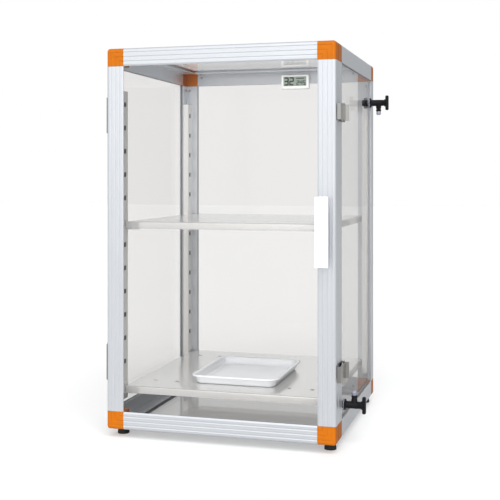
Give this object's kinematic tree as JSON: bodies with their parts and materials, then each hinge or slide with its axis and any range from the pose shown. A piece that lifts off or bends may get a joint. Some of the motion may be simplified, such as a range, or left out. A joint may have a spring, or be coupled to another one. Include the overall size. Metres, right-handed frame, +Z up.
{
  "type": "desiccator cabinet",
  "caption": "Framed clear desiccator cabinet with orange corner blocks, hinged latching door, steel shelves on slotted uprights, gas taps, hygrometer and feet.",
  "frame": {"origin": "middle of the whole object's footprint, on the surface that it stands on", "axes": "+Z up, +X to the right as seen from the front, the door faces -Y"},
  "size_m": [0.4342, 0.4134, 0.654],
  "materials": {
    "frame_aluminium": "satin anodised",
    "corner_plastic": "moulded, fine grain",
    "clear_sheet": "clear, polished",
    "shelf_steel": "fine brushed",
    "fitting_steel": "satin",
    "handle_plastic": "white, semi gloss",
    "tap_plastic": "moulded black",
    "meter_plastic": "white moulded",
    "tray_plastic": "white glazed",
    "foot_rubber": "matt black",
    "seal_rubber": "matt"
  },
  "bodies": {
    "cabinet": {"back_left_foot": "foot_rubber", "back_left_post": "frame_aluminium", "back_left_upright": "fitting_steel", "back_panel": "clear_sheet", "back_right_foot": "foot_rubber", "back_right_post": "frame_aluminium", "back_right_upright": "fitting_steel", "bottom_back_left_corner": "corner_plastic", "bottom_back_rail": "frame_aluminium", "bottom_back_right_corner": "corner_plastic", "bottom_front_left_corner": "corner_plastic", "bottom_front_rail": "frame_aluminium", "bottom_front_right_corner": "corner_plastic", "bottom_left_rail": "frame_aluminium", "bottom_panel": "clear_sheet", "bottom_right_rail": "frame_aluminium", "front_left_foot": "foot_rubber", "front_left_post": "frame_aluminium", "front_left_upright": "fitting_steel", "front_right_foot": "foot_rubber", "front_right_post": "frame_aluminium", "front_right_upright": "fitting_steel", "hygrometer": "meter_plastic", "inlet_tap_body": "tap_plastic", "left_panel": "clear_sheet", "lower_hinge_body_leaf": "fitting_steel", "lower_latch_base": "fitting_steel", "outlet_tap_body": "tap_plastic", "right_panel": "clear_sheet", "top_back_left_corner": "corner_plastic", "top_back_rail": "frame_aluminium", "top_back_right_corner": "corner_plastic", "top_front_left_corner": "corner_plastic", "top_front_rail": "frame_aluminium", "top_front_right_corner": "corner_plastic", "top_left_rail": "frame_aluminium", "top_panel": "clear_sheet", "top_right_rail": "frame_aluminium", "upper_hinge_body_leaf": "fitting_steel", "upper_latch_base": "fitting_steel"},
    "door": {"door_bottom_left_corner": "corner_plastic", "door_bottom_rail": "frame_aluminium", "door_bottom_right_corner": "corner_plastic", "door_handle": "handle_plastic", "door_left_stile": "frame_aluminium", "door_pane": "clear_sheet", "door_right_stile": "frame_aluminium", "door_seal": "seal_rubber", "door_top_left_corner": "corner_plastic", "door_top_rail": "frame_aluminium", "door_top_right_corner": "corner_plastic", "lower_hinge_door_leaf": "fitting_steel", "upper_hinge_door_leaf": "fitting_steel"},
    "upper_latch": {"upper_latch_lever": "fitting_steel"},
    "lower_latch": {"lower_latch_lever": "fitting_steel"},
    "inlet_tap_plug": {"inlet_tap_handle": "tap_plastic"},
    "outlet_tap_plug": {"outlet_tap_handle": "tap_plastic"},
    "upper_shelf": {"upper_shelf": "shelf_steel"},
    "lower_shelf": {"lower_shelf": "shelf_steel"},
    "tray": {"sample_tray": "tray_plastic"}
  },
  "joints": [
    {"name": "door_hinge", "type": "hinge", "parent": "cabinet", "child": "door", "pos_m": [-0.2139, -0.16335, 0.334], "axis": [0, 0, -1], "range_deg": [0, 120]},
    {"name": "upper_latch_turn", "type": "hinge", "parent": "cabinet", "child": "upper_latch", "pos_m": [0.1861, -0.13535, 0.542], "axis": [0, 0, 1], "range_deg": [0, 90]},
    {"name": "lower_latch_turn", "type": "hinge", "parent": "cabinet", "child": "lower_latch", "pos_m": [0.1861, -0.13535, 0.126], "axis": [0, 0, 1], "range_deg": [0, 90]},
    {"name": "inlet_tap_turn", "type": "hinge", "parent": "cabinet", "child": "inlet_tap_plug", "pos_m": [0.21, -0.10835, 0.064], "axis": [1, 0, 0], "range_deg": [0, 90]},
    {"name": "outlet_tap_turn", "type": "hinge", "parent": "cabinet", "child": "outlet_tap_plug", "pos_m": [0.21, 0.16165, 0.579], "axis": [1, 0, 0], "range_deg": [0, 90]},
    {"name": "upper_shelf_lift", "type": "slide", "parent": "cabinet", "child": "upper_shelf", "axis": [0, 0, 1], "range_m": [0, 0.03]},
    {"name": "lower_shelf_lift", "type": "slide", "parent": "cabinet", "child": "lower_shelf", "axis": [0, 0, 1], "range_m": [0, 0.03]},
    {"name": "tray_lift", "type": "slide", "parent": "lower_shelf", "child": "tray", "axis": [0, 0, 1], "range_m": [0, 0.06]}
  ]
}
